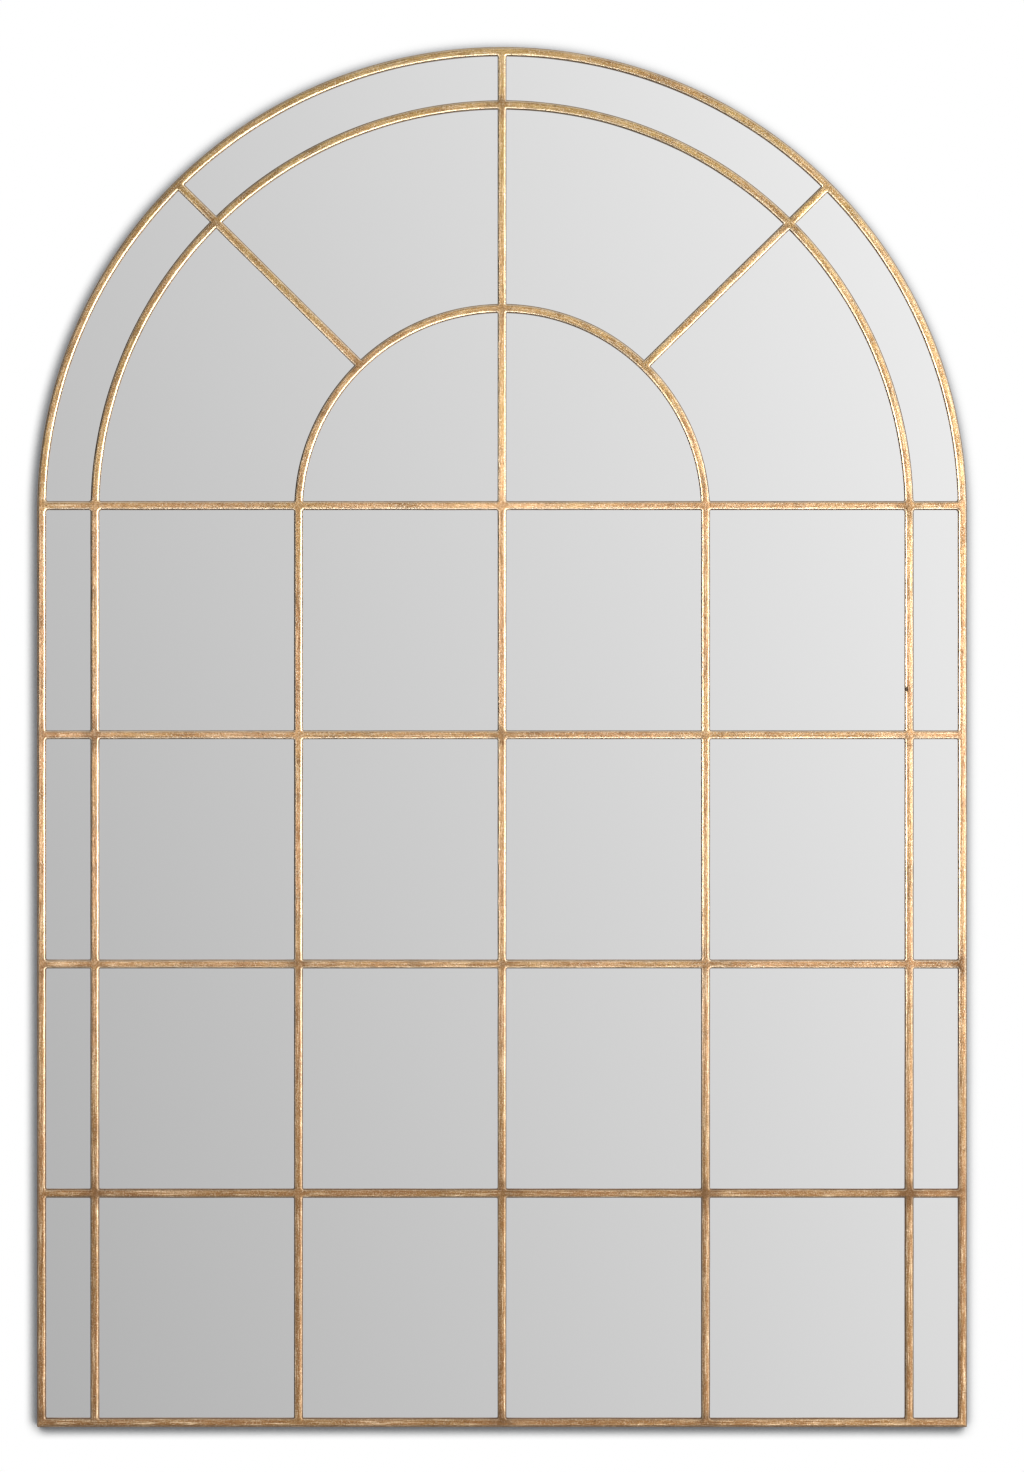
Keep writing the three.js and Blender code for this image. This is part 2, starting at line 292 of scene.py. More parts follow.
def mirrored(corners):
    """The same pane on the other side of the centre line, still anticlockwise."""
    flipped = []
    for index in range(len(corners) - 1, -1, -1):
        point = corners[index][0]
        flipped.append((Vector((-point.x, point.y)), corners[index - 1][1]))
    return flipped


def fan_panes(ray_angle):
    """The panes above the spring line, on the right-hand side."""
    spring = (Vector((0.0, spring_z + half_bar)), Vector((1.0, 0.0)))
    low = ray_edge(ray_angle, 1)
    high = ray_edge(ray_angle, -1)
    centre = ray_edge(0.0, 1)
    bays = [
        (inner_radius + half_bar, mid_radius - half_bar),
        (mid_radius + half_bar, rim_radius - bar_width),
    ]
    panes = []
    for inner, outer in bays:
        panes.append(sector(spring, low, inner, outer))
        panes.append(sector(high, centre, inner, outer))
    radius = inner_radius - half_bar
    panes.append([
        (Vector((half_bar, spring_z + half_bar)), STRAIGHT_ACROSS),
        (reach(spring, radius), BENT),
        (reach(centre, radius), STRAIGHT_ACROSS),
    ])
    return panes


def square_panes():
    """The panes below the spring line, on the right-hand side."""
    columns = [
        (half_bar, inner_radius - half_bar),
        (inner_radius + half_bar, mid_radius - half_bar),
        (mid_radius + half_bar, rim_radius - bar_width),
    ]
    bars = [foot_z + half_bar, *row_heights, spring_z]
    panes = []
    for below, above in zip(bars, bars[1:]):
        low = below + half_bar
        high = above - half_bar
        for near, far in columns:
            panes.append([
                (Vector((near, low)), STRAIGHT_ACROSS),
                (Vector((far, low)), STRAIGHT_UP),
                (Vector((far, high)), STRAIGHT_ACROSS),
                (Vector((near, high)), STRAIGHT_UP),
            ])
    return panes


def rim_corners(inset):
    """The rim's outline at an inset from its outer face."""
    radius = rim_radius - inset
    foot = foot_z + inset
    return [
        (Vector((-radius, foot)), STRAIGHT_ACROSS),
        (Vector((radius, foot)), STRAIGHT_UP),
        (Vector((radius, arch_z)), BENT),
        (Vector((0.0, arch_z + radius)), BENT),
        (Vector((-radius, arch_z)), STRAIGHT_UP),
    ]


def weld_fillet(point):
    """How far the weld and the gilding round off a pane's corner: least at the rays."""
    uneven = FILLET_UNEVEN * plan_noise(point, FILLET_NOISE_SCALE, FILLET_NOISE_LAYER)
    if point.y > spring_z + bar_width:
        return RAY_FILLET + uneven / 2
    at_spring = abs(point.y - spring_z) < bar_width
    if at_spring and abs(point.x) > mid_radius - bar_width:
        return BORDER_FILLET + uneven
    return PLAIN_FILLET + uneven


# ---------------------------------------------------------------- the grille as a mesh

# Round a weld the soot is full as far as the core, and gone at the reach
WELD_CORE = 3.0 * MM
WELD_REACH = 17.0 * MM
# Hand-bent sides waver in and out
WOBBLE = 0.16 * MM
WOBBLE_SCALE = 22.0
WOBBLE_LAYER = 0.0
# Ground faces dip a little
FACE_DIP = 0.12 * MM
FACE_DIP_SCALE = 60.0
FACE_DIP_LAYER = 7.0
# What the fill asks of the triangulation: faces inside the outlines, and how close points may lie
INSIDE_OUTLINES = 1
FILL_EPSILON = 1e-7
GRILLE_SHARP_ANGLE = math.radians(40)


def wobble(point):
    return plan_noise(point, WOBBLE_SCALE, WOBBLE_LAYER)


def face_dip(point):
    return FACE_DIP * (0.5 + 0.5 * plan_noise(point, FACE_DIP_SCALE, FACE_DIP_LAYER))


class RingMesh:
    """Vertices and faces of a body made of closed rings of points and flat fills between them."""

    def __init__(self):
        self.vertices = []
        self.across = []
        self.faces = []

    def ring(self, points, across, depth, dips=False):
        """Adds a ring of points at a depth below the front; the vertices' numbers."""
        first = len(self.vertices)
        for point in points:
            dip = face_dip(point) if dips else 0.0
            self.vertices.append((point.x, front_y + depth + dip, point.y))
        self.across.extend(across)
        return list(range(first, len(self.vertices)))

    def bridge(self, one, two):
        """Faces between two rings of as many points."""
        count = len(one)
        for index in range(count):
            after = (index + 1) % count
            self.faces.append((one[index], one[after], two[after], two[index]))

    def rounded_edge(self, outline_at, across):
        """Rings down a rubbed arris, each at outline_at(inset); the first and the last of them."""
        rings = []
        for inset, depth in ARRIS_PROFILE:
            rings.append(self.ring(outline_at(inset * MM), across, depth * MM, dips=True))
        for one, two in zip(rings, rings[1:]):
            self.bridge(one, two)
        return rings[0], rings[-1]

    def fill(self, rings):
        """Triangles over the flat area inside the first ring and outside the others."""
        order = []
        outlines = []
        for ring in rings:
            outlines.append(list(range(len(order), len(order) + len(ring))))
            order.extend(ring)
        flat = [Vector((self.vertices[i][0], self.vertices[i][2])) for i in order]
        result = delaunay_2d_cdt(flat, [], outlines, INSIDE_OUTLINES, FILL_EPSILON)
        _, _, triangles, sources, _, outlines_round = result
        for triangle, around in zip(triangles, outlines_round):
            if around == [0]:
                self.faces.append(tuple(order[sources[corner][0]] for corner in triangle))


def add_rim(body):
    """The outside of the rim, rounded at its face and lined by its web; its two flat rings."""
    steps = side_steps(rim_corners(0.0))
    start, across = rounded_loop(rim_corners(0.0), steps, lambda point: FOOT_CORNER)
    normals = left_normals(start)
    dents = [WOBBLE * (0.5 + 0.5 * wobble(point)) for point in start]

    def outline_at(inset):
        corner = max(LEAST_FOOT_CORNER, FOOT_CORNER - inset)
        points, _ = rounded_loop(rim_corners(inset), steps, lambda point: corner)
        return [p + n * dent for p, n, dent in zip(points, normals, dents)]

    face_ring, side_ring = body.rounded_edge(outline_at, across)
    web_back = body.ring(outline_at(0.0), across, back_y - front_y)
    heel_back = body.ring(outline_at(WEB), across, back_y - front_y)
    heel_front = body.ring(outline_at(WEB), across, bar_depth)
    body.bridge(side_ring, web_back)
    body.bridge(web_back, heel_back)
    body.bridge(heel_back, heel_front)
    return face_ring, heel_front


def add_pane(body, corners):
    """The walls of one opening in the grille; its two flat rings."""
    points, across = rounded_loop(corners, side_steps(corners), weld_fillet)
    outward = [-normal for normal in left_normals(points)]
    points = [p + n * WOBBLE * wobble(p) for p, n in zip(points, outward)]

    def outline_at(inset):
        return [p + n * inset for p, n in zip(points, outward)]

    face_ring, side_ring = body.rounded_edge(outline_at, across)
    back_ring = body.ring(points, across, bar_depth)
    body.bridge(side_ring, back_ring)
    return face_ring, back_ring


def grille_mesh():
    """The whole grille as one welded body, and the corners of its panes, where the welds are."""
    body = RingMesh()
    panes = fan_panes(RIGHT_RAY_ANGLE) + square_panes()
    panes += [mirrored(pane) for pane in fan_panes(LEFT_RAY_ANGLE) + square_panes()]
    flat_rings = [add_rim(body)] + [add_pane(body, pane) for pane in panes]
    body.fill([face for face, _ in flat_rings])
    body.fill([back for _, back in flat_rings])
    welds = [corner for pane in panes for corner, _ in pane]
    return body, welds


def closeness(vertices, welds):
    """How close each vertex is to the weld of two bars: 1 at it, 0 from WELD_REACH on."""
    tree = KDTree(len(welds))
    for index, weld in enumerate(welds):
        tree.insert((weld.x, weld.y, 0.0), index)
    tree.balance()
    shares = []
    for x, _, z in vertices:
        distance = tree.find((x, z, 0.0))[2]
        shares.append(fade(distance, WELD_CORE, WELD_REACH))
    return shares


# ---------------------------------------------------------------- the fittings as meshes

SCREW_SIDES = 56
SCREW_HEAD = 1.8 * MM
SCREW_RIM = 0.45 * MM
SCREW_CHAMFER = 0.1 * MM
SCREW_SHANK = 1.55 * MM
SCREW_CORE = 1.15 * MM
SCREW_THREADS = 6
SCREW_TIP = 1.3 * MM
CROWN_RINGS = 18
# The higher, the flatter the crown's middle
CROWN_FLATNESS = 3
RECESS_DEPTH = 1.0 * MM
RECESS_REACH = 1.6 * MM
RECESS_HALF_WIDTH = 0.36 * MM
RECESS_SLOPE = 0.22 * MM
WIRE_SIDES = 20
RING_CORNER = 3.5 * MM
RING_CORNER_STEPS = 10
RING_BEND_STEPS = 72
RING_BUTT_GAP = 0.4 * MM
BUMPER_SIDES = 64
BUMPER_CHAMFER = 0.3 * MM
BUMPER_TAPER = 1.4 * MM
BUMPER_ROUND = 1.4 * MM
BUMPER_ROUND_STEPS = 8
BUMPER_DISH = 0.5 * MM
BUMPER_DISH_STEPS = 5
BUMPER_DISH_FLATNESS = 4
TURNED_SHARP_ANGLE = math.radians(38)
WIRE_SHARP_ANGLE = math.radians(50)


def turned_mesh(name, centre, profile, sides, sink=None):
    """A body turned about a line along y. Its profile is pairs of radius and y, from axis to axis.

    sink(x, y, z) is how far a point of the surface is pressed in along -y.
    """
    vertices = []
    rings = []
    for radius, y in profile:
        ring = []
        for step in range(sides if radius > 0 else 1):
            angle = 2 * math.pi * step / sides
            x = radius * math.cos(angle)
            z = radius * math.sin(angle)
            ring.append(len(vertices))
            pressed = sink(x, y, z) if sink else 0.0
            vertices.append((centre.x + x, y - pressed, centre.z + z))
        rings.append(ring)
    faces = []
    for one, two in zip(rings, rings[1:]):
        for step in range(sides):
            after = (step + 1) % sides
            corners = [one[step % len(one)], one[after % len(one)],
                       two[after % len(two)], two[step % len(two)]]
            faces.append(tuple(dict.fromkeys(corners)))
    return mesh_from(name, vertices, faces, TURNED_SHARP_ANGLE)


def screw_mesh(name, node, turn):
    """A pan-head screw with a cross recess, in the space of its node."""
    low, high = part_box(node)
    centre = (low + high) / 2
    head_radius = (high.x - low.x) / 2
    seat = high.y - SCREW_HEAD

    def recess(x, y, z):
        if y < seat + SCREW_RIM:
            return 0.0
        along = abs(x * math.cos(turn) + z * math.sin(turn))
        aside = abs(z * math.cos(turn) - x * math.sin(turn))
        arms = []
        for length, width in ((along, aside), (aside, along)):
            arms.append(fade(length, RECESS_REACH - RECESS_SLOPE, RECESS_REACH) *
                        fade(width, RECESS_HALF_WIDTH, RECESS_HALF_WIDTH + RECESS_SLOPE))
        return RECESS_DEPTH * max(arms)

    profile = [(0.0, low.y)]
    thread_length = (seat - low.y - SCREW_TIP) / SCREW_THREADS
    for thread in range(SCREW_THREADS):
        start = low.y + SCREW_TIP + thread * thread_length
        profile.append((SCREW_CORE, start))
        profile.append((SCREW_SHANK, start + thread_length / 2))
    profile.append((SCREW_CORE, seat))
    profile.append((head_radius - SCREW_CHAMFER, seat))
    profile.append((head_radius, seat + SCREW_CHAMFER))
    for step in range(CROWN_RINGS):
        share = math.cos(UP * step / CROWN_RINGS)
        rise = math.sqrt(1 - share ** CROWN_FLATNESS)
        profile.append((head_radius * share, seat + SCREW_RIM + (SCREW_HEAD - SCREW_RIM) * rise))
    profile.append((0.0, high.y))
    return turned_mesh(name, centre, profile, SCREW_SIDES, recess)


def arc(centre_x, centre_z, radius, start, end, steps):
    """The points of an arc from one angle to another, as pairs of x and z."""
    points = []
    for step in range(steps + 1):
        angle = start + (end - start) * step / steps
        points.append((centre_x + radius * math.cos(angle), centre_z + radius * math.sin(angle)))
    return points


def ring_mesh(name, node):
    """A bent wire ring, flat along the top and round below, with its butt joint at the middle."""
    low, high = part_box(node)
    wire = (high.y - low.y) / 2
    centre = (low + high) / 2
    half_width = (high.x - low.x) / 2 - wire
    top = high.z - wire
    shoulder = low.z + wire + half_width
    side = half_width - RING_CORNER
    path = [(RING_BUTT_GAP / 2, top)]
    path += arc(side, top - RING_CORNER, RING_CORNER, UP, 0.0, RING_CORNER_STEPS)
    path += arc(0.0, shoulder, half_width, 0.0, -math.pi, RING_BEND_STEPS)
    path += arc(-side, top - RING_CORNER, RING_CORNER, math.pi, UP, RING_CORNER_STEPS)
    path.append((-RING_BUTT_GAP / 2, top))

    vertices = []
    for index, (x, z) in enumerate(path):
        before = path[max(index - 1, 0)]
        after = path[min(index + 1, len(path) - 1)]
        run = Vector((after[0] - before[0], after[1] - before[1])).normalized()
        for step in range(WIRE_SIDES):
            angle = 2 * math.pi * step / WIRE_SIDES
            out = wire * math.cos(angle)
            back = wire * math.sin(angle)
            vertices.append((centre.x + x - run.y * out, centre.y + back, z + run.x * out))
    first_end = tuple(range(WIRE_SIDES))
    last_end = tuple(range(len(vertices) - WIRE_SIDES, len(vertices)))
    faces = [first_end, last_end]
    for index in range(len(path) - 1):
        here = index * WIRE_SIDES
        there = here + WIRE_SIDES
        for step in range(WIRE_SIDES):
            after = (step + 1) % WIRE_SIDES
            faces.append((here + step, here + after, there + after, there + step))
    return mesh_from(name, vertices, faces, WIRE_SHARP_ANGLE)


def bumper_mesh(name, node):
    """A moulded rubber foot: tapered, round at its rim and dished in the middle."""
    low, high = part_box(node)
    centre = (low + high) / 2
    radius = (high.x - low.x) / 2
    tip = radius - BUMPER_TAPER
    profile = [
        (0.0, low.y),
        (radius - BUMPER_CHAMFER, low.y),
        (radius, low.y + BUMPER_CHAMFER),
    ]
    for step in range(BUMPER_ROUND_STEPS + 1):
        angle = UP * step / BUMPER_ROUND_STEPS
        profile.append((tip - BUMPER_ROUND * (1 - math.cos(angle)),
                        high.y - BUMPER_ROUND * (1 - math.sin(angle))))
    for step in range(1, BUMPER_DISH_STEPS + 1):
        share = 1 - step / BUMPER_DISH_STEPS
        dish = BUMPER_DISH * (1 - share ** BUMPER_DISH_FLATNESS)
        profile.append(((tip - BUMPER_ROUND) * share, high.y - dish))
    return turned_mesh(name, centre, profile, BUMPER_SIDES)


# ---------------------------------------------------------------- shader helpers

# The Mix node has sockets of one name for each kind of data. These are the places of its colours.
MIX_COLOUR_A = 6
MIX_COLOUR_B = 7
MIX_COLOUR_RESULT = 2


class Nodes:
    """A short way to write a node tree."""

    def __init__(self, tree):
        self.tree = tree
        tree.nodes.clear()

    def put(self, socket, value):
        """Links a socket to another, or sets it to a plain value."""
        if isinstance(value, bpy.types.NodeSocket):
            self.tree.links.new(value, socket)
        else:
            socket.default_value = value

    def add(self, kind, inputs=None, **settings):
        node = self.tree.nodes.new(kind)
        for name, value in settings.items():
            setattr(node, name, value)
        for name, value in (inputs or {}).items():
            self.put(node.inputs[name], value)
        return node

    def math(self, operation, a, b=0.0, c=0.0, clamp=False):
        node = self.add("ShaderNodeMath", operation=operation, use_clamp=clamp)
        for socket, value in zip(node.inputs, (a, b, c)):
            self.put(socket, value)
        return node.outputs[0]

    def smooth(self, value, low, high, to_low=0.0, to_high=1.0):
        """to_low where the value is low, to_high where it is high, and a smooth step between."""
        node = self.add("ShaderNodeMapRange", interpolation_type="SMOOTHSTEP")
        for name, number in (("Value", value), ("From Min", low), ("From Max", high),
                             ("To Min", to_low), ("To Max", to_high)):
            self.put(node.inputs[name], number)
        return node.outputs["Result"]

    def noise(self, place, scale, detail=2.0, roughness=0.5):
        node = self.add("ShaderNodeTexNoise", {
            "Vector": place, "Scale": scale, "Detail": detail, "Roughness": roughness,
        })
        return node.outputs["Fac"]

    def mix(self, share, a, b):
        """Colour a where the share is 0 and colour b where it is 1."""
        node = self.add("ShaderNodeMix", data_type="RGBA")
        self.put(node.inputs["Factor"], share)
        self.put(node.inputs[MIX_COLOUR_A], a)
        self.put(node.inputs[MIX_COLOUR_B], b)
        return node.outputs[MIX_COLOUR_RESULT]

    def moved(self, place, offset=(0.0, 0.0, 0.0), stretch=(1.0, 1.0, 1.0)):
        node = self.add("ShaderNodeMapping", {
            "Vector": place, "Location": offset, "Scale": stretch,
        })
        return node.outputs["Vector"]


def new_material(name):
    """A material, its nodes, its shader's inputs, and the place on the object in metres."""
    material = bpy.data.materials.new(name)
    material.use_nodes = True
    nodes = Nodes(material.node_tree)
    shader = nodes.add("ShaderNodeBsdfPrincipled")
    output = nodes.add("ShaderNodeOutputMaterial")
    nodes.put(output.inputs["Surface"], shader.outputs["BSDF"])
    place = nodes.add("ShaderNodeTexCoord").outputs["Object"]
    return material, nodes, shader.inputs, place


def bump(nodes, height, distance, strength=1.0, under=None):
    """The normal for a height of 0 to 1 that stands for a distance, on top of another normal."""
    node = nodes.add("ShaderNodeBump", {
        "Strength": strength, "Distance": distance, "Height": height,
    })
    if under is not None:
        nodes.put(node.inputs["Normal"], under)
    return node.outputs["Normal"]


# ---------------------------------------------------------------- materials

def along_the_bars(nodes, place, fine, coarse):
    """Noise drawn out along each bar: round the arch on hoops, outward on rays and crossbars.

    fine and coarse are its waves per metre, across the bar and along it.
    """
    parts = nodes.add("ShaderNodeSeparateXYZ", {"Vector": place}).outputs
    rise = nodes.math("MAXIMUM", nodes.math("SUBTRACT", parts["Z"], arch_z), 0.0)
    fall = nodes.math("MINIMUM", nodes.math("SUBTRACT", parts["Z"], arch_z), 0.0)
    angle = nodes.math("ARCTAN2", rise, parts["X"])
    radius = nodes.math("SQRT", nodes.math("ADD", nodes.math("MULTIPLY", rise, rise),
                                           nodes.math("MULTIPLY", parts["X"], parts["X"])))
    side = nodes.math("SIGN", parts["X"])
    above = nodes.math("GREATER_THAN", rise, 0.0)
    flat_out = nodes.math("MULTIPLY", radius, side)
    out = nodes.math("MULTIPLY_ADD", above, nodes.math("SUBTRACT", radius, flat_out), flat_out)
    run = nodes.math("MULTIPLY_ADD", angle, mid_radius, fall)
    round_place = nodes.add("ShaderNodeCombineXYZ", {
        "X": nodes.math("MULTIPLY", out, fine), "Z": nodes.math("MULTIPLY", run, coarse),
        "Y": nodes.math("MULTIPLY", parts["Y"], fine)})
    out_place = nodes.add("ShaderNodeCombineXYZ", {
        "X": nodes.math("MULTIPLY", out, coarse), "Z": nodes.math("MULTIPLY", run, fine),
        "Y": nodes.math("MULTIPLY", parts["Y"], fine)})
    across = nodes.add("ShaderNodeAttribute", attribute_name="across").outputs["Fac"]
    along_upright = nodes.noise(round_place.outputs[0], 1.0, 3.0, 0.6)
    along_across = nodes.noise(out_place.outputs[0], 1.0, 3.0, 0.6)
    return nodes.mix(across, along_upright, along_across)


class Patches(NamedTuple):
    """A tone laid over another, as strongly as amount, where a noise rises from low to high."""

    tone: tuple
    amount: float
    offset: tuple
    scale: float
    roughness: float
    low: float
    high: float
    detail: float = 3.0


class Grain(NamedTuple):
    """A dark tone in a noise's troughs and a bright one on its crests, as strongly as amount."""

    amount: float
    dark: tuple
    dark_none: float
    dark_full: float
    bright: tuple
    bright_none: float
    bright_full: float


# The ground of the leaf: coppery below and olive at the arch, and a little of both in patches
COPPERY = linear(206, 159, 115)
OLIVE = linear(193, 160, 100)
OLIVE_AT_ARCH = 0.6
OLIVE_IN_PATCHES = 0.4
OLIVE_PATCH_SCALE = 9.0
OLIVE_PATCH_LIMITS = (0.38, 0.62)
ARCH_TONE_START = arch_z - 0.15
ARCH_TONE_FULL = arch_z + 0.35

BLOTCHES = Patches(tone=linear(150, 106, 66), amount=0.35, offset=(3.0, 0.0, 1.0), scale=60.0,
                   roughness=0.6, low=0.45, high=0.66)
TARNISH = Patches(tone=linear(112, 80, 50), amount=0.55, offset=(7.0, 2.0, 4.0), scale=26.0,
                  roughness=0.65, low=0.5, high=0.68, detail=4.0)
NICKS = Patches(tone=linear(66, 48, 36), amount=0.75, offset=(2.0, 6.0, 9.0), scale=300.0,
                roughness=0.5, low=0.69, high=0.73, detail=2.0)

# Painted shade: the leaf is painted darker and browner towards the foot, with fewer bright specks
# and dimmer arrises there
FOOT_SHADE_TONE = linear(125, 90, 50)
FOOT_SHADE_AMOUNT = 0.66
FOOT_SHADE_START = arch_z - 0.35
FOOT_SHADE_FULL = arch_z - 0.8
FOOT_SHADE_SPECK_LOSS = 0.3
FOOT_SHADE_ARRIS_LOSS = 0.7

# Streaks run along the bars, and specks lie anywhere
STREAKS_ACROSS_A_BAR = 950.0
STREAKS_ALONG_A_BAR = 36.0
STREAKS = Grain(amount=0.6, dark=linear(132, 88, 54), dark_none=0.5, dark_full=0.32,
                bright=linear(255, 228, 190), bright_none=0.52, bright_full=0.7)
SPECK_OFFSET = (0.0, 5.0, 2.0)
SPECK_SCALE = 700.0
SPECKS = Grain(amount=0.7, dark=linear(112, 78, 46), dark_none=0.48, dark_full=0.34,
               bright=linear(255, 240, 214), bright_none=0.54, bright_full=0.66)

# Soot round the welds, on some more than on others
SOOT = linear(104, 74, 48)
SOOT_MOTTLE_SCALE = 110.0
SOOT_WELDS_OFFSET = (1.0, 8.0, 3.0)
SOOT_WELDS_SCALE = 11.0

# Depths below the face, between which the leaf on an arris is rubbed pale, with a painted highlight
# on top of the wear, and a side is dark with patina and painted shade
ARRIS_WEAR_AND_HIGHLIGHT_TONE = linear(255, 238, 210)
ARRIS_WEAR_AND_HIGHLIGHT_AMOUNT = 0.5
ARRIS_STARTS = (0.2 * MM, 0.4 * MM)
ARRIS_ENDS = (0.7 * MM, 1.1 * MM)
# Patina and painted shade on the bars' sides, darkest just below the arris
PATINA_AND_SHADE = linear(126, 88, 52)
PATINA_AND_SHADE_FULL = 0.75
PATINA_AND_SHADE_STARTS = (0.7 * MM, 1.4 * MM)
PATINA_AND_SHADE_DEEP = 0.45
PATINA_AND_SHADE_FADES = (2.0 * MM, 4.0 * MM)

# Where a chip of leaf is missing, and how it is drawn out along the bar
BARE_IRON = linear(34, 28, 25)
CHIP_PLACE = (0.442, front_y, -0.3216)
CHIP_STRETCH = (1.0, 1.0, 0.45)
CHIP_RAGGED = 1.5 * MM
CHIP_LIMITS = (1.9 * MM, 2.6 * MM)
CHIP_AMOUNT = 0.95

# The roughness of the leaf, and what each kind of wear adds to it
LEAF_ROUGHNESS = 0.5
SPECK_ROUGHNESS = -0.3
FOOT_ROUGHNESS = 0.1
ARRIS_ROUGHNESS = -0.08
SOOT_ROUGHNESS = 0.15
DENT_SCALE = 130.0
DENT_DEPTH = 0.5 * MM
GRAIN_DEPTH = 0.2 * MM


def lay_patches(nodes, colour, place, patches):
    pattern = nodes.noise(nodes.moved(place, patches.offset), patches.scale, patches.detail,
                          patches.roughness)
    share = nodes.smooth(pattern, patches.low, patches.high)
    return nodes.mix(nodes.math("MULTIPLY", share, patches.amount), colour, patches.tone)


def lay_grain(nodes, colour, pattern, grain, bright_amount):
    dark = nodes.smooth(pattern, grain.dark_none, grain.dark_full)
    bright = nodes.smooth(pattern, grain.bright_none, grain.bright_full)
    colour = nodes.mix(nodes.math("MULTIPLY", dark, grain.amount), colour, grain.dark)
    return nodes.mix(nodes.math("MULTIPLY", bright, bright_amount), colour, grain.bright)


def leaf_ground(nodes, place, height):
    patch = nodes.smooth(nodes.noise(place, OLIVE_PATCH_SCALE, 3.0), *OLIVE_PATCH_LIMITS)
    at_arch = nodes.smooth(height, ARCH_TONE_START, ARCH_TONE_FULL)
    olive = nodes.math("ADD", nodes.math("MULTIPLY", at_arch, OLIVE_AT_ARCH),
                       nodes.math("MULTIPLY", patch, OLIVE_IN_PATCHES), clamp=True)
    return nodes.mix(olive, COPPERY, OLIVE)


def weld_soot(nodes, place):
    """How much soot lies round the welds."""
    weld = nodes.add("ShaderNodeAttribute", attribute_name="weld").outputs["Fac"]
    mottle = nodes.smooth(nodes.noise(place, SOOT_MOTTLE_SCALE, 3.0, 0.6), 0.3, 0.6, 0.3, 1.0)
    by_weld = nodes.noise(nodes.moved(place, SOOT_WELDS_OFFSET), SOOT_WELDS_SCALE, 1.0)
    kept = nodes.smooth(by_weld, 0.4, 0.62, 0.08, 0.7)
    return nodes.math("MULTIPLY", nodes.math("MULTIPLY", weld, mottle), kept)


def rubbed_and_highlit_arris(nodes, depth, foot):
    """How far the leaf is rubbed bright on the arrises, with a painted highlight on top of the
    wear, and less so at the foot as painted shade.
    """
    starts = nodes.smooth(depth, *ARRIS_STARTS)
    ends = nodes.smooth(depth, *ARRIS_ENDS, 1.0, 0.0)
    kept = nodes.math("MULTIPLY_ADD", foot, -FOOT_SHADE_ARRIS_LOSS, 1.0)
    return nodes.math("MULTIPLY", nodes.math("MULTIPLY", starts, ends), kept)


def chip_of_leaf(nodes, place, speck):
    """1 inside the chip, with a ragged edge."""
    offset = nodes.add("ShaderNodeVectorMath", {0: place, 1: CHIP_PLACE}, operation="SUBTRACT")
    drawn_out = nodes.moved(offset.outputs["Vector"], stretch=CHIP_STRETCH)
    away = nodes.add("ShaderNodeVectorMath", {0: drawn_out}, operation="LENGTH").outputs["Value"]
    ragged = nodes.math("MULTIPLY_ADD", speck, CHIP_RAGGED, away)
    return nodes.smooth(ragged, *CHIP_LIMITS, CHIP_AMOUNT, 0.0)


def side_patina_and_shade(nodes, depth):
    """How dark a bar's side is, as patina and painted shade: most just below its arris."""
    starts = nodes.smooth(depth, *PATINA_AND_SHADE_STARTS, 0.0, PATINA_AND_SHADE_FULL)
    fades = nodes.smooth(depth, *PATINA_AND_SHADE_FADES, 1.0, PATINA_AND_SHADE_DEEP)
    return nodes.math("MULTIPLY", starts, fades)


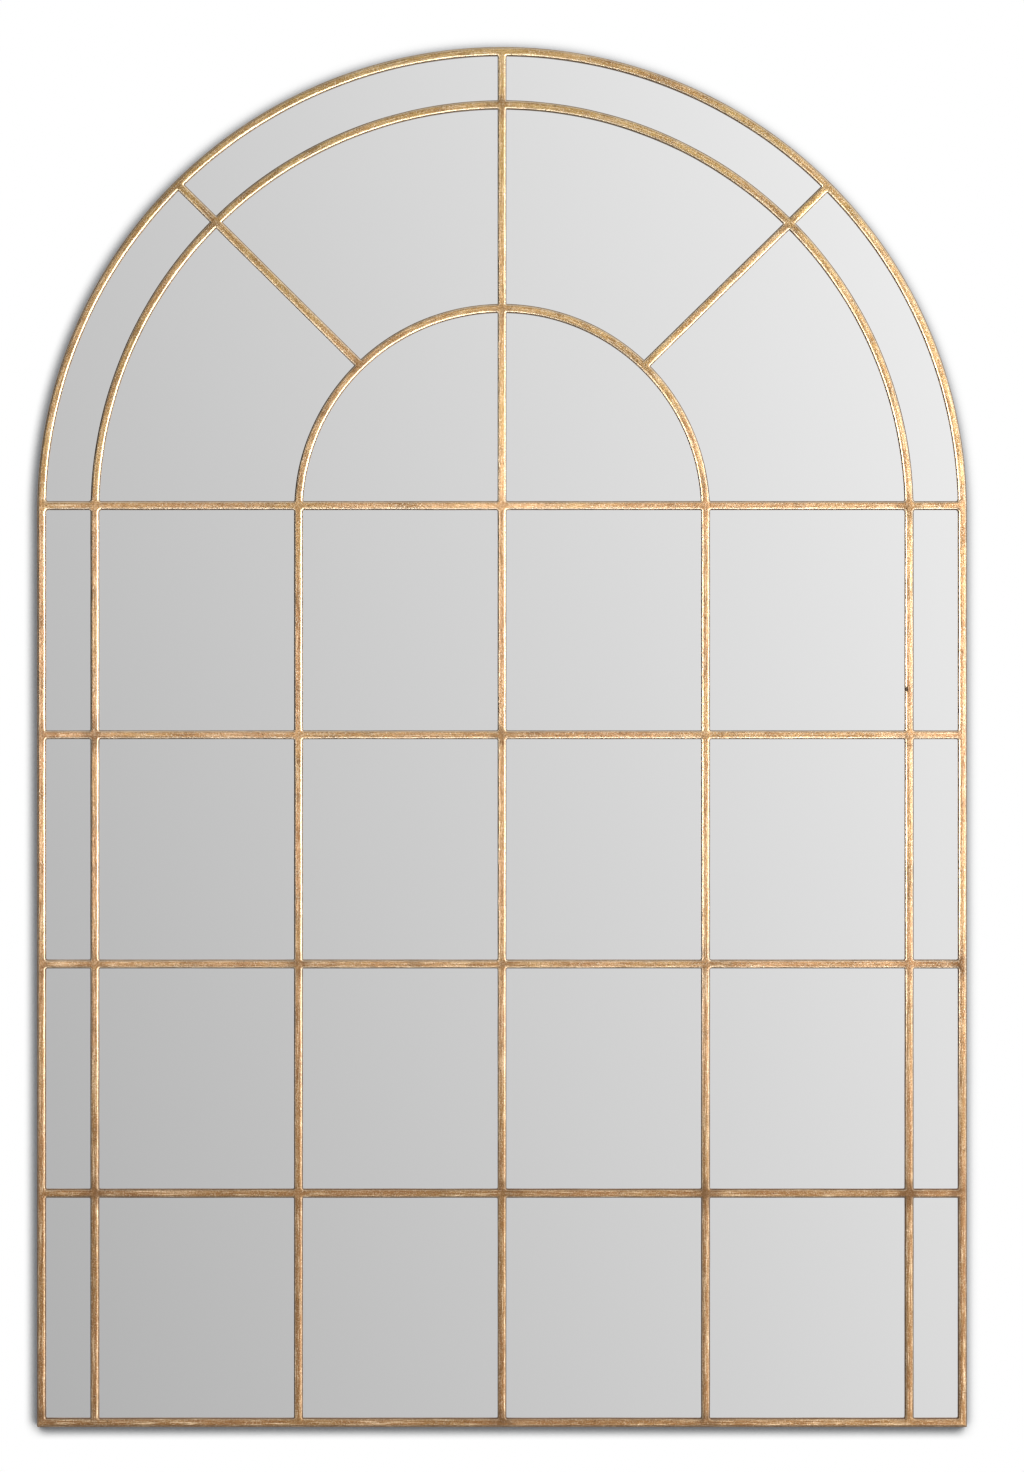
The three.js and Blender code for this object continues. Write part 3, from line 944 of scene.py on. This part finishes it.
def gold_leaf():
    """Gold leaf rubbed on to iron: coppery and olive patches, streaks, specks, sides darkened by
    patina and painted shade, painted shade towards the foot, and pale arrises that are partly a
    painted highlight.
    """
    material, nodes, shader, place = new_material("gold_leaf")
    parts = nodes.add("ShaderNodeSeparateXYZ", {"Vector": place}).outputs
    depth = nodes.math("SUBTRACT", parts["Y"], front_y)
    # Towards the foot: painted shade on the leaf, and more roughness
    foot = nodes.smooth(parts["Z"], FOOT_SHADE_START, FOOT_SHADE_FULL)
    streak = along_the_bars(nodes, place, STREAKS_ACROSS_A_BAR, STREAKS_ALONG_A_BAR)
    speck = nodes.noise(nodes.moved(place, SPECK_OFFSET), SPECK_SCALE, 3.0, 0.7)
    soot = weld_soot(nodes, place)
    arris = rubbed_and_highlit_arris(nodes, depth, foot)

    colour = leaf_ground(nodes, place, parts["Z"])
    colour = lay_patches(nodes, colour, place, BLOTCHES)
    colour = lay_patches(nodes, colour, place, TARNISH)
    # Painted shade: darker and browner towards the foot
    colour = nodes.mix(nodes.math("MULTIPLY", foot, FOOT_SHADE_AMOUNT), colour, FOOT_SHADE_TONE)
    colour = lay_grain(nodes, colour, streak, STREAKS, STREAKS.amount)
    # Painted shade: fewer bright specks towards the foot
    glint = nodes.math("MULTIPLY_ADD", foot, -FOOT_SHADE_SPECK_LOSS, SPECKS.amount)
    colour = lay_grain(nodes, colour, speck, SPECKS, glint)
    colour = nodes.mix(soot, colour, SOOT)
    colour = lay_patches(nodes, colour, place, NICKS)
    # Rubbed leaf and a painted highlight on the arrises
    colour = nodes.mix(nodes.math("MULTIPLY", arris, ARRIS_WEAR_AND_HIGHLIGHT_AMOUNT), colour, ARRIS_WEAR_AND_HIGHLIGHT_TONE)
    colour = nodes.mix(chip_of_leaf(nodes, place, speck), colour, BARE_IRON)
    # Patina and painted shade on the bars' sides
    colour = nodes.mix(side_patina_and_shade(nodes, depth), colour, PATINA_AND_SHADE)
    nodes.put(shader["Base Color"], colour)
    shader["Metallic"].default_value = 1.0

    rough = nodes.math("MULTIPLY_ADD", speck, SPECK_ROUGHNESS, LEAF_ROUGHNESS)
    rough = nodes.math("MULTIPLY_ADD", foot, FOOT_ROUGHNESS, rough)
    rough = nodes.math("MULTIPLY_ADD", arris, ARRIS_ROUGHNESS, rough, clamp=True)
    rough = nodes.math("MULTIPLY_ADD", soot, SOOT_ROUGHNESS, rough)
    nodes.put(shader["Roughness"], rough)

    relief = bump(nodes, nodes.noise(place, DENT_SCALE, 2.0), DENT_DEPTH, 0.5)
    relief = bump(nodes, nodes.math("ADD", speck, streak), GRAIN_DEPTH, 0.7, relief)
    nodes.put(shader["Normal"], relief)
    return material


def silvered_glass():
    """Mirror glass: nearly perfect silver with the faintest change of tint across it."""
    material, nodes, shader, place = new_material("silvered_glass")
    tint = nodes.noise(place, 2.5, 1.0)
    colour = nodes.mix(tint, linear(243, 243, 243), linear(244, 244, 244))
    nodes.put(shader["Base Color"], colour)
    shader["Metallic"].default_value = 1.0
    shader["Roughness"].default_value = 0.0
    return material


# How far fibres and rolling marks are drawn out along z
FIBRE_STRETCH = (1.0, 1.0, 0.25)
ROLLING_STRETCH = (1.0, 1.0, 0.08)


def painted_board():
    """Fibreboard under a thin coat of black paint, with the fibres showing through."""
    material, nodes, shader, place = new_material("painted_board")
    fibre = nodes.noise(nodes.moved(place, stretch=FIBRE_STRETCH), 380.0, 4.0, 0.65)
    cloud = nodes.smooth(nodes.noise(place, 7.0, 3.0), 0.4, 0.7)
    colour = nodes.mix(nodes.smooth(fibre, 0.35, 0.7), linear(34, 32, 31), linear(58, 54, 50))
    colour = nodes.mix(nodes.math("MULTIPLY", cloud, 0.4), colour, linear(66, 60, 54))
    nodes.put(shader["Base Color"], colour)
    nodes.put(shader["Roughness"], nodes.math("MULTIPLY_ADD", fibre, 0.25, 0.62))
    nodes.put(shader["Normal"], bump(nodes, fibre, 0.3 * MM, 0.5))
    return material


def zinc(name, light, dark):
    """Zinc-plated steel with a faint spangle and rolling marks."""
    material, nodes, shader, place = new_material(name)
    spangle = nodes.noise(place, 650.0, 2.0, 0.6)
    marks = nodes.noise(nodes.moved(place, stretch=ROLLING_STRETCH), 1500.0, 2.0)
    colour = nodes.mix(nodes.smooth(spangle, 0.32, 0.7), dark, light)
    nodes.put(shader["Base Color"], colour)
    shader["Metallic"].default_value = 1.0
    nodes.put(shader["Roughness"], nodes.math("MULTIPLY_ADD", marks, 0.3, 0.2))
    nodes.put(shader["Normal"], bump(nodes, marks, 0.05 * MM, 0.5))
    return material


def rubber():
    """Black moulded rubber, slightly dusty."""
    material, nodes, shader, place = new_material("rubber")
    dust = nodes.noise(place, 300.0, 4.0, 0.7)
    colour = nodes.mix(nodes.smooth(dust, 0.5, 0.75), linear(30, 30, 31), linear(70, 68, 66))
    nodes.put(shader["Base Color"], colour)
    nodes.put(shader["Roughness"], nodes.math("MULTIPLY_ADD", dust, 0.2, 0.6))
    nodes.put(shader["Normal"], bump(nodes, dust, 0.1 * MM, 0.4))
    return material


def wear(node, material):
    """Gives one of the frame's own nodes a better material."""
    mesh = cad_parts[node].data
    mesh.materials.clear()
    mesh.materials.append(material)


# ---------------------------------------------------------------- the pieces

BAR_NAMES = ("rim_", "bottom_", "mid_", "inner_", "centre_", "ray_", "crossbar_", "spring_bar_")


def point_values(mesh, name, values):
    """Keeps a number for each vertex, for a material to read."""
    attribute = mesh.attributes.new(name, "FLOAT", "POINT")
    attribute.data.foreach_set("value", values)


def dress_grille():
    body, welds = grille_mesh()
    mesh = mesh_from("gilded_grille", body.vertices, body.faces, GRILLE_SHARP_ANGLE)
    point_values(mesh, "across", body.across)
    point_values(mesh, "weld", closeness(body.vertices, welds))
    mesh.materials.append(gold_leaf())
    grille = link_object("gilded_grille", mesh)
    bars = [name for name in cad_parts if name.startswith(BAR_NAMES)]
    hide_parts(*bars)
    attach(grille, ROOT_BODY)
    return grille


def fit(node, mesh, material, body=ROOT_BODY):
    """A finer piece in the place of one node."""
    mesh.materials.append(material)
    piece = link_object(mesh.name, mesh)
    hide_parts(node)
    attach(piece, body)


SHEET_EDGE = 0.22 * MM
SHEET_EDGE_ANGLE = math.radians(50)
MERGE_DISTANCE = 0.01 * MM


def soften(node):
    """Takes the sharp corners off a node cut from sheet steel."""
    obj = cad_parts[node]
    weld = obj.modifiers.new("weld", "WELD")
    weld.merge_threshold = MERGE_DISTANCE
    bevel = obj.modifiers.new("soften", "BEVEL")
    bevel.width = SHEET_EDGE
    bevel.segments = 2
    bevel.limit_method = "ANGLE"
    bevel.angle_limit = SHEET_EDGE_ANGLE


def dress_back():
    wear("mirror_glass", silvered_glass())
    wear("backing_board", painted_board())
    bright = zinc("zinc_bright", linear(212, 214, 217), linear(184, 186, 190))
    dull = zinc("zinc_dull", linear(188, 187, 180), linear(162, 160, 153))
    black = rubber()
    turns = random.Random(SCREW_TURN_SEED)
    for name in sorted(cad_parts):
        if name.startswith(("clip_screw", "hanger_screw")):
            turn = turns.uniform(0.0, UP)
            fit(name, screw_mesh(f"fine_{name}", name, turn), bright)
        elif name.startswith("hanger_ring"):
            body = "ring_left" if name.endswith("left") else "ring_right"
            fit(name, ring_mesh(f"fine_{name}", name), bright, body)
        elif name.startswith("wall_bumper"):
            fit(name, bumper_mesh(f"fine_{name}", name), black)
        elif name.startswith(("clip_", "hanger_strap")):
            wear(name, dull)
            soften(name)


# ---------------------------------------------------------------- camera, stage and light

PHOTO_WIDTH_PX = 1024
PHOTO_HEIGHT_PX = 1472
RIM_WIDTH_PX = 930
RIM_MIDDLE_PX = (502, 737)
CAMERA_DISTANCE = 10.0
SENSOR = 36.0

px = 2 * rim_radius / RIM_WIDTH_PX
camera_x = (PHOTO_WIDTH_PX / 2 - RIM_MIDDLE_PX[0]) * px
camera_z = object_middle.z + (RIM_MIDDLE_PX[1] - PHOTO_HEIGHT_PX / 2) * px


def place_camera():
    data = bpy.data.cameras.new("camera")
    data.sensor_width = SENSOR
    data.lens = SENSOR * CAMERA_DISTANCE / (PHOTO_HEIGHT_PX * px)
    camera = bpy.data.objects.new("camera", data)
    camera.location = (camera_x, front_y - CAMERA_DISTANCE, camera_z)
    camera.rotation_euler = (UP, 0.0, 0.0)
    bpy.context.scene.collection.objects.link(camera)
    bpy.context.scene.camera = camera


# The studio as the mirror sees it: its display value at the middle of the glass, and the rise from
# there to the right edge and to the top
GLASS_BASE = 0.9
STUDIO_MIDDLE = 0.821
STUDIO_RISE_RIGHT = 0.0834
STUDIO_RISE_TOP = 0.0462
STUDIO_LIMITS = (0.5, 1.0)
STUDIO_DARKEST = 0.08
# The studio farther out: where a change starts, where it is full, and how much it is
FAR_RIGHT = (0.7, 0.98, -0.3)
NEAR_LEFT = (-0.3, -0.5, 0.2)
FAR_LEFT = (-0.6, -0.9, -0.7)
OVERHEAD = (0.4, 0.9, -0.25)
# Where the studio gives way to the white behind the object
BEHIND = (-0.05, 0.15)


def display_to_linear(nodes, value):
    return nodes.math("POWER", nodes.math("DIVIDE", nodes.math("ADD", value, 0.055), 1.055), 2.4)


def light_world():
    """White behind the object, and a grey studio in front of it, brighter to the right."""
    world = bpy.data.worlds.new("studio")
    bpy.context.scene.world = world
    world.use_nodes = True
    nodes = Nodes(world.node_tree)
    direction = nodes.add("ShaderNodeTexCoord").outputs["Generated"]
    parts = nodes.add("ShaderNodeSeparateXYZ", {"Vector": direction}).outputs
    across, along, up = parts["X"], parts["Y"], parts["Z"]

    half_height = (cad_high.z - cad_low.z) / 2
    rise_right = STUDIO_RISE_RIGHT * CAMERA_DISTANCE / rim_radius
    rise_top = STUDIO_RISE_TOP * CAMERA_DISTANCE / half_height
    value = nodes.math("MULTIPLY_ADD", across, rise_right, STUDIO_MIDDLE)
    value = nodes.math("MULTIPLY_ADD", up, rise_top, value)
    lowest, highest = STUDIO_LIMITS
    value = nodes.math("MINIMUM", nodes.math("MAXIMUM", value, lowest), highest)
    changes = [(across, FAR_RIGHT), (across, NEAR_LEFT), (across, FAR_LEFT), (up, OVERHEAD)]
    for axis, (start, full, gain) in changes:
        value = nodes.math("ADD", value, nodes.smooth(axis, start, full, 0.0, gain))
    value = nodes.math("MAXIMUM", value, STUDIO_DARKEST)
    studio = nodes.math("DIVIDE", display_to_linear(nodes, value), GLASS_BASE)

    behind = nodes.smooth(along, *BEHIND)
    level = nodes.math("MULTIPLY_ADD", behind, nodes.math("SUBTRACT", 1.0, studio), studio)
    camera_ray = nodes.add("ShaderNodeLightPath").outputs["Is Camera Ray"]
    level = nodes.math("MULTIPLY_ADD", camera_ray, nodes.math("SUBTRACT", 1.0, level), level)
    background = nodes.add("ShaderNodeBackground", {"Color": WHITE, "Strength": level})
    output = nodes.add("ShaderNodeOutputWorld")
    nodes.put(output.inputs["Surface"], background.outputs["Background"])


SHADOW_REACH = 17 * MM
# The shadow falls as if the wall leaned, so that it is longer to the left and below
SHADOW_LEAN = {"X": 0.28, "Y": -1.0, "Z": 0.36}
SHADOW_TONE = linear(88, 90, 93)
SHADOW_LIMITS = (0.5, 1.0)
SHADOW_SAMPLES = 16
WALL_GAP = 0.5 * MM
STAGE_SIZE = 30.0
FLOOR_DROP = 0.25


def wall_paint():
    """A white wall for the camera alone, darker close to the object with a painted shadow, and
    clear from behind.
    """
    material = bpy.data.materials.new("wall")
    material.use_nodes = True
    nodes = Nodes(material.node_tree)
    lean = nodes.add("ShaderNodeCombineXYZ", SHADOW_LEAN)
    shade = nodes.add("ShaderNodeAmbientOcclusion", {
        "Distance": SHADOW_REACH, "Normal": lean.outputs[0],
    }, samples=SHADOW_SAMPLES)
    lit = nodes.smooth(shade.outputs["AO"], *SHADOW_LIMITS)
    colour = nodes.mix(lit, SHADOW_TONE, WHITE)
    glow = nodes.add("ShaderNodeEmission", {"Color": colour, "Strength": 1.0})
    clear = nodes.add("ShaderNodeBsdfTransparent")
    back = nodes.add("ShaderNodeNewGeometry").outputs["Backfacing"]
    mixed = nodes.add("ShaderNodeMixShader", {"Fac": back})
    nodes.put(mixed.inputs[1], glow.outputs[0])
    nodes.put(mixed.inputs[2], clear.outputs[0])
    output = nodes.add("ShaderNodeOutputMaterial")
    nodes.put(output.inputs["Surface"], mixed.outputs[0])
    return material


def floor_paint():
    material, nodes, shader, place = new_material("floor")
    grain = nodes.noise(place, 3.0, 3.0)
    nodes.put(shader["Base Color"], nodes.mix(grain, linear(240, 240, 240), linear(246, 246, 245)))
    shader["Roughness"].default_value = 0.9
    return material


def stage_plane(name, corners, material):
    """A flat part of the stage, which is no part of the object."""
    mesh = bpy.data.meshes.new(name)
    mesh.from_pydata(corners, [], [(0, 1, 2, 3)])
    mesh.materials.append(material)
    plane = link_object(name, mesh)
    return plane


def set_stage():
    floor_z = foot_z - FLOOR_DROP
    far = STAGE_SIZE / 2
    wall = stage_plane("wall", [
        (-far, WALL_GAP, floor_z), (far, WALL_GAP, floor_z),
        (far, WALL_GAP, floor_z + far), (-far, WALL_GAP, floor_z + far),
    ], wall_paint())
    floor = stage_plane("floor", [
        (-far, -far, floor_z), (far, -far, floor_z), (far, far, floor_z), (-far, far, floor_z),
    ], floor_paint())
    wall.visible_diffuse = False
    wall.visible_glossy = False
    wall.visible_transmission = False
    wall.visible_shadow = False
    floor.visible_glossy = False


class Panel(NamedTuple):
    """A soft rectangular lamp, turned to a point of the object."""

    name: str
    place: tuple
    width: float
    height: float
    radiance: float
    aim_at: tuple = tuple(object_middle)
    spread: float = math.pi


PANELS = [
    Panel("right_panel", (0.95, -1.4, 0.0), 0.6, 0.8, 4.0),
    Panel("right_bars_lamp", (-0.35, -0.95, -0.05), 0.4, 1.2, 0.6,
          aim_at=(0.45, 0.0, -0.05), spread=math.radians(60)),
    Panel("left_panel", (-0.8, -1.4, -0.42), 0.4, 0.6, 2.4),
    Panel("low_left_panel", (-1.3, -1.2, -1.25), 0.6, 0.6, 1.6),
    Panel("left_strip", (-1.6, -2.77, -0.37), 0.5, 2.2, 2.0),
]

# Small lamps on an arc from the right to below, which draw the bright lines on the arrises
EDGE_LAMPS = 6
EDGE_LAMP_DISTANCE = 3.2
EDGE_LAMP_TILT = math.radians(38)
EDGE_LAMP_SIZE = 0.75
EDGE_LAMP_RADIANCE = 5.0


def edge_panels():
    out = EDGE_LAMP_DISTANCE * math.sin(EDGE_LAMP_TILT)
    forward = EDGE_LAMP_DISTANCE * math.cos(EDGE_LAMP_TILT)
    panels = []
    for index in range(EDGE_LAMPS):
        turn = UP * index / (EDGE_LAMPS - 1)
        place = object_middle + Vector((out * math.cos(turn), -forward, -out * math.sin(turn)))
        panels.append(Panel(f"edge_lamp_{index + 1}", tuple(place), EDGE_LAMP_SIZE, EDGE_LAMP_SIZE,
                            EDGE_LAMP_RADIANCE))
    return panels


def add_panel(panel, lit_objects):
    """Adds a panel that lights nothing but the objects of one collection."""
    data = bpy.data.lights.new(panel.name, "AREA")
    data.shape = "RECTANGLE"
    data.size = panel.width
    data.size_y = panel.height
    data.energy = panel.radiance * math.pi * panel.width * panel.height
    data.spread = panel.spread
    lamp = bpy.data.objects.new(panel.name, data)
    lamp.location = panel.place
    aim = Vector(panel.aim_at) - Vector(panel.place)
    lamp.rotation_euler = aim.to_track_quat("-Z", "Y").to_euler()
    lamp.visible_camera = False
    lamp.light_linking.receiver_collection = lit_objects
    bpy.context.scene.collection.objects.link(lamp)


def light_lamps(grille):
    """Panels that the mirror would show if they lit it too, so they light the gilding alone."""
    gilding = bpy.data.collections.new("gilding")
    gilding.objects.link(grille)
    for panel in PANELS + edge_panels():
        add_panel(panel, gilding)


bpy.context.scene.view_settings.view_transform = "Standard"

place_camera()
grille = dress_grille()
dress_back()
light_world()
set_stage()
light_lamps(grille)
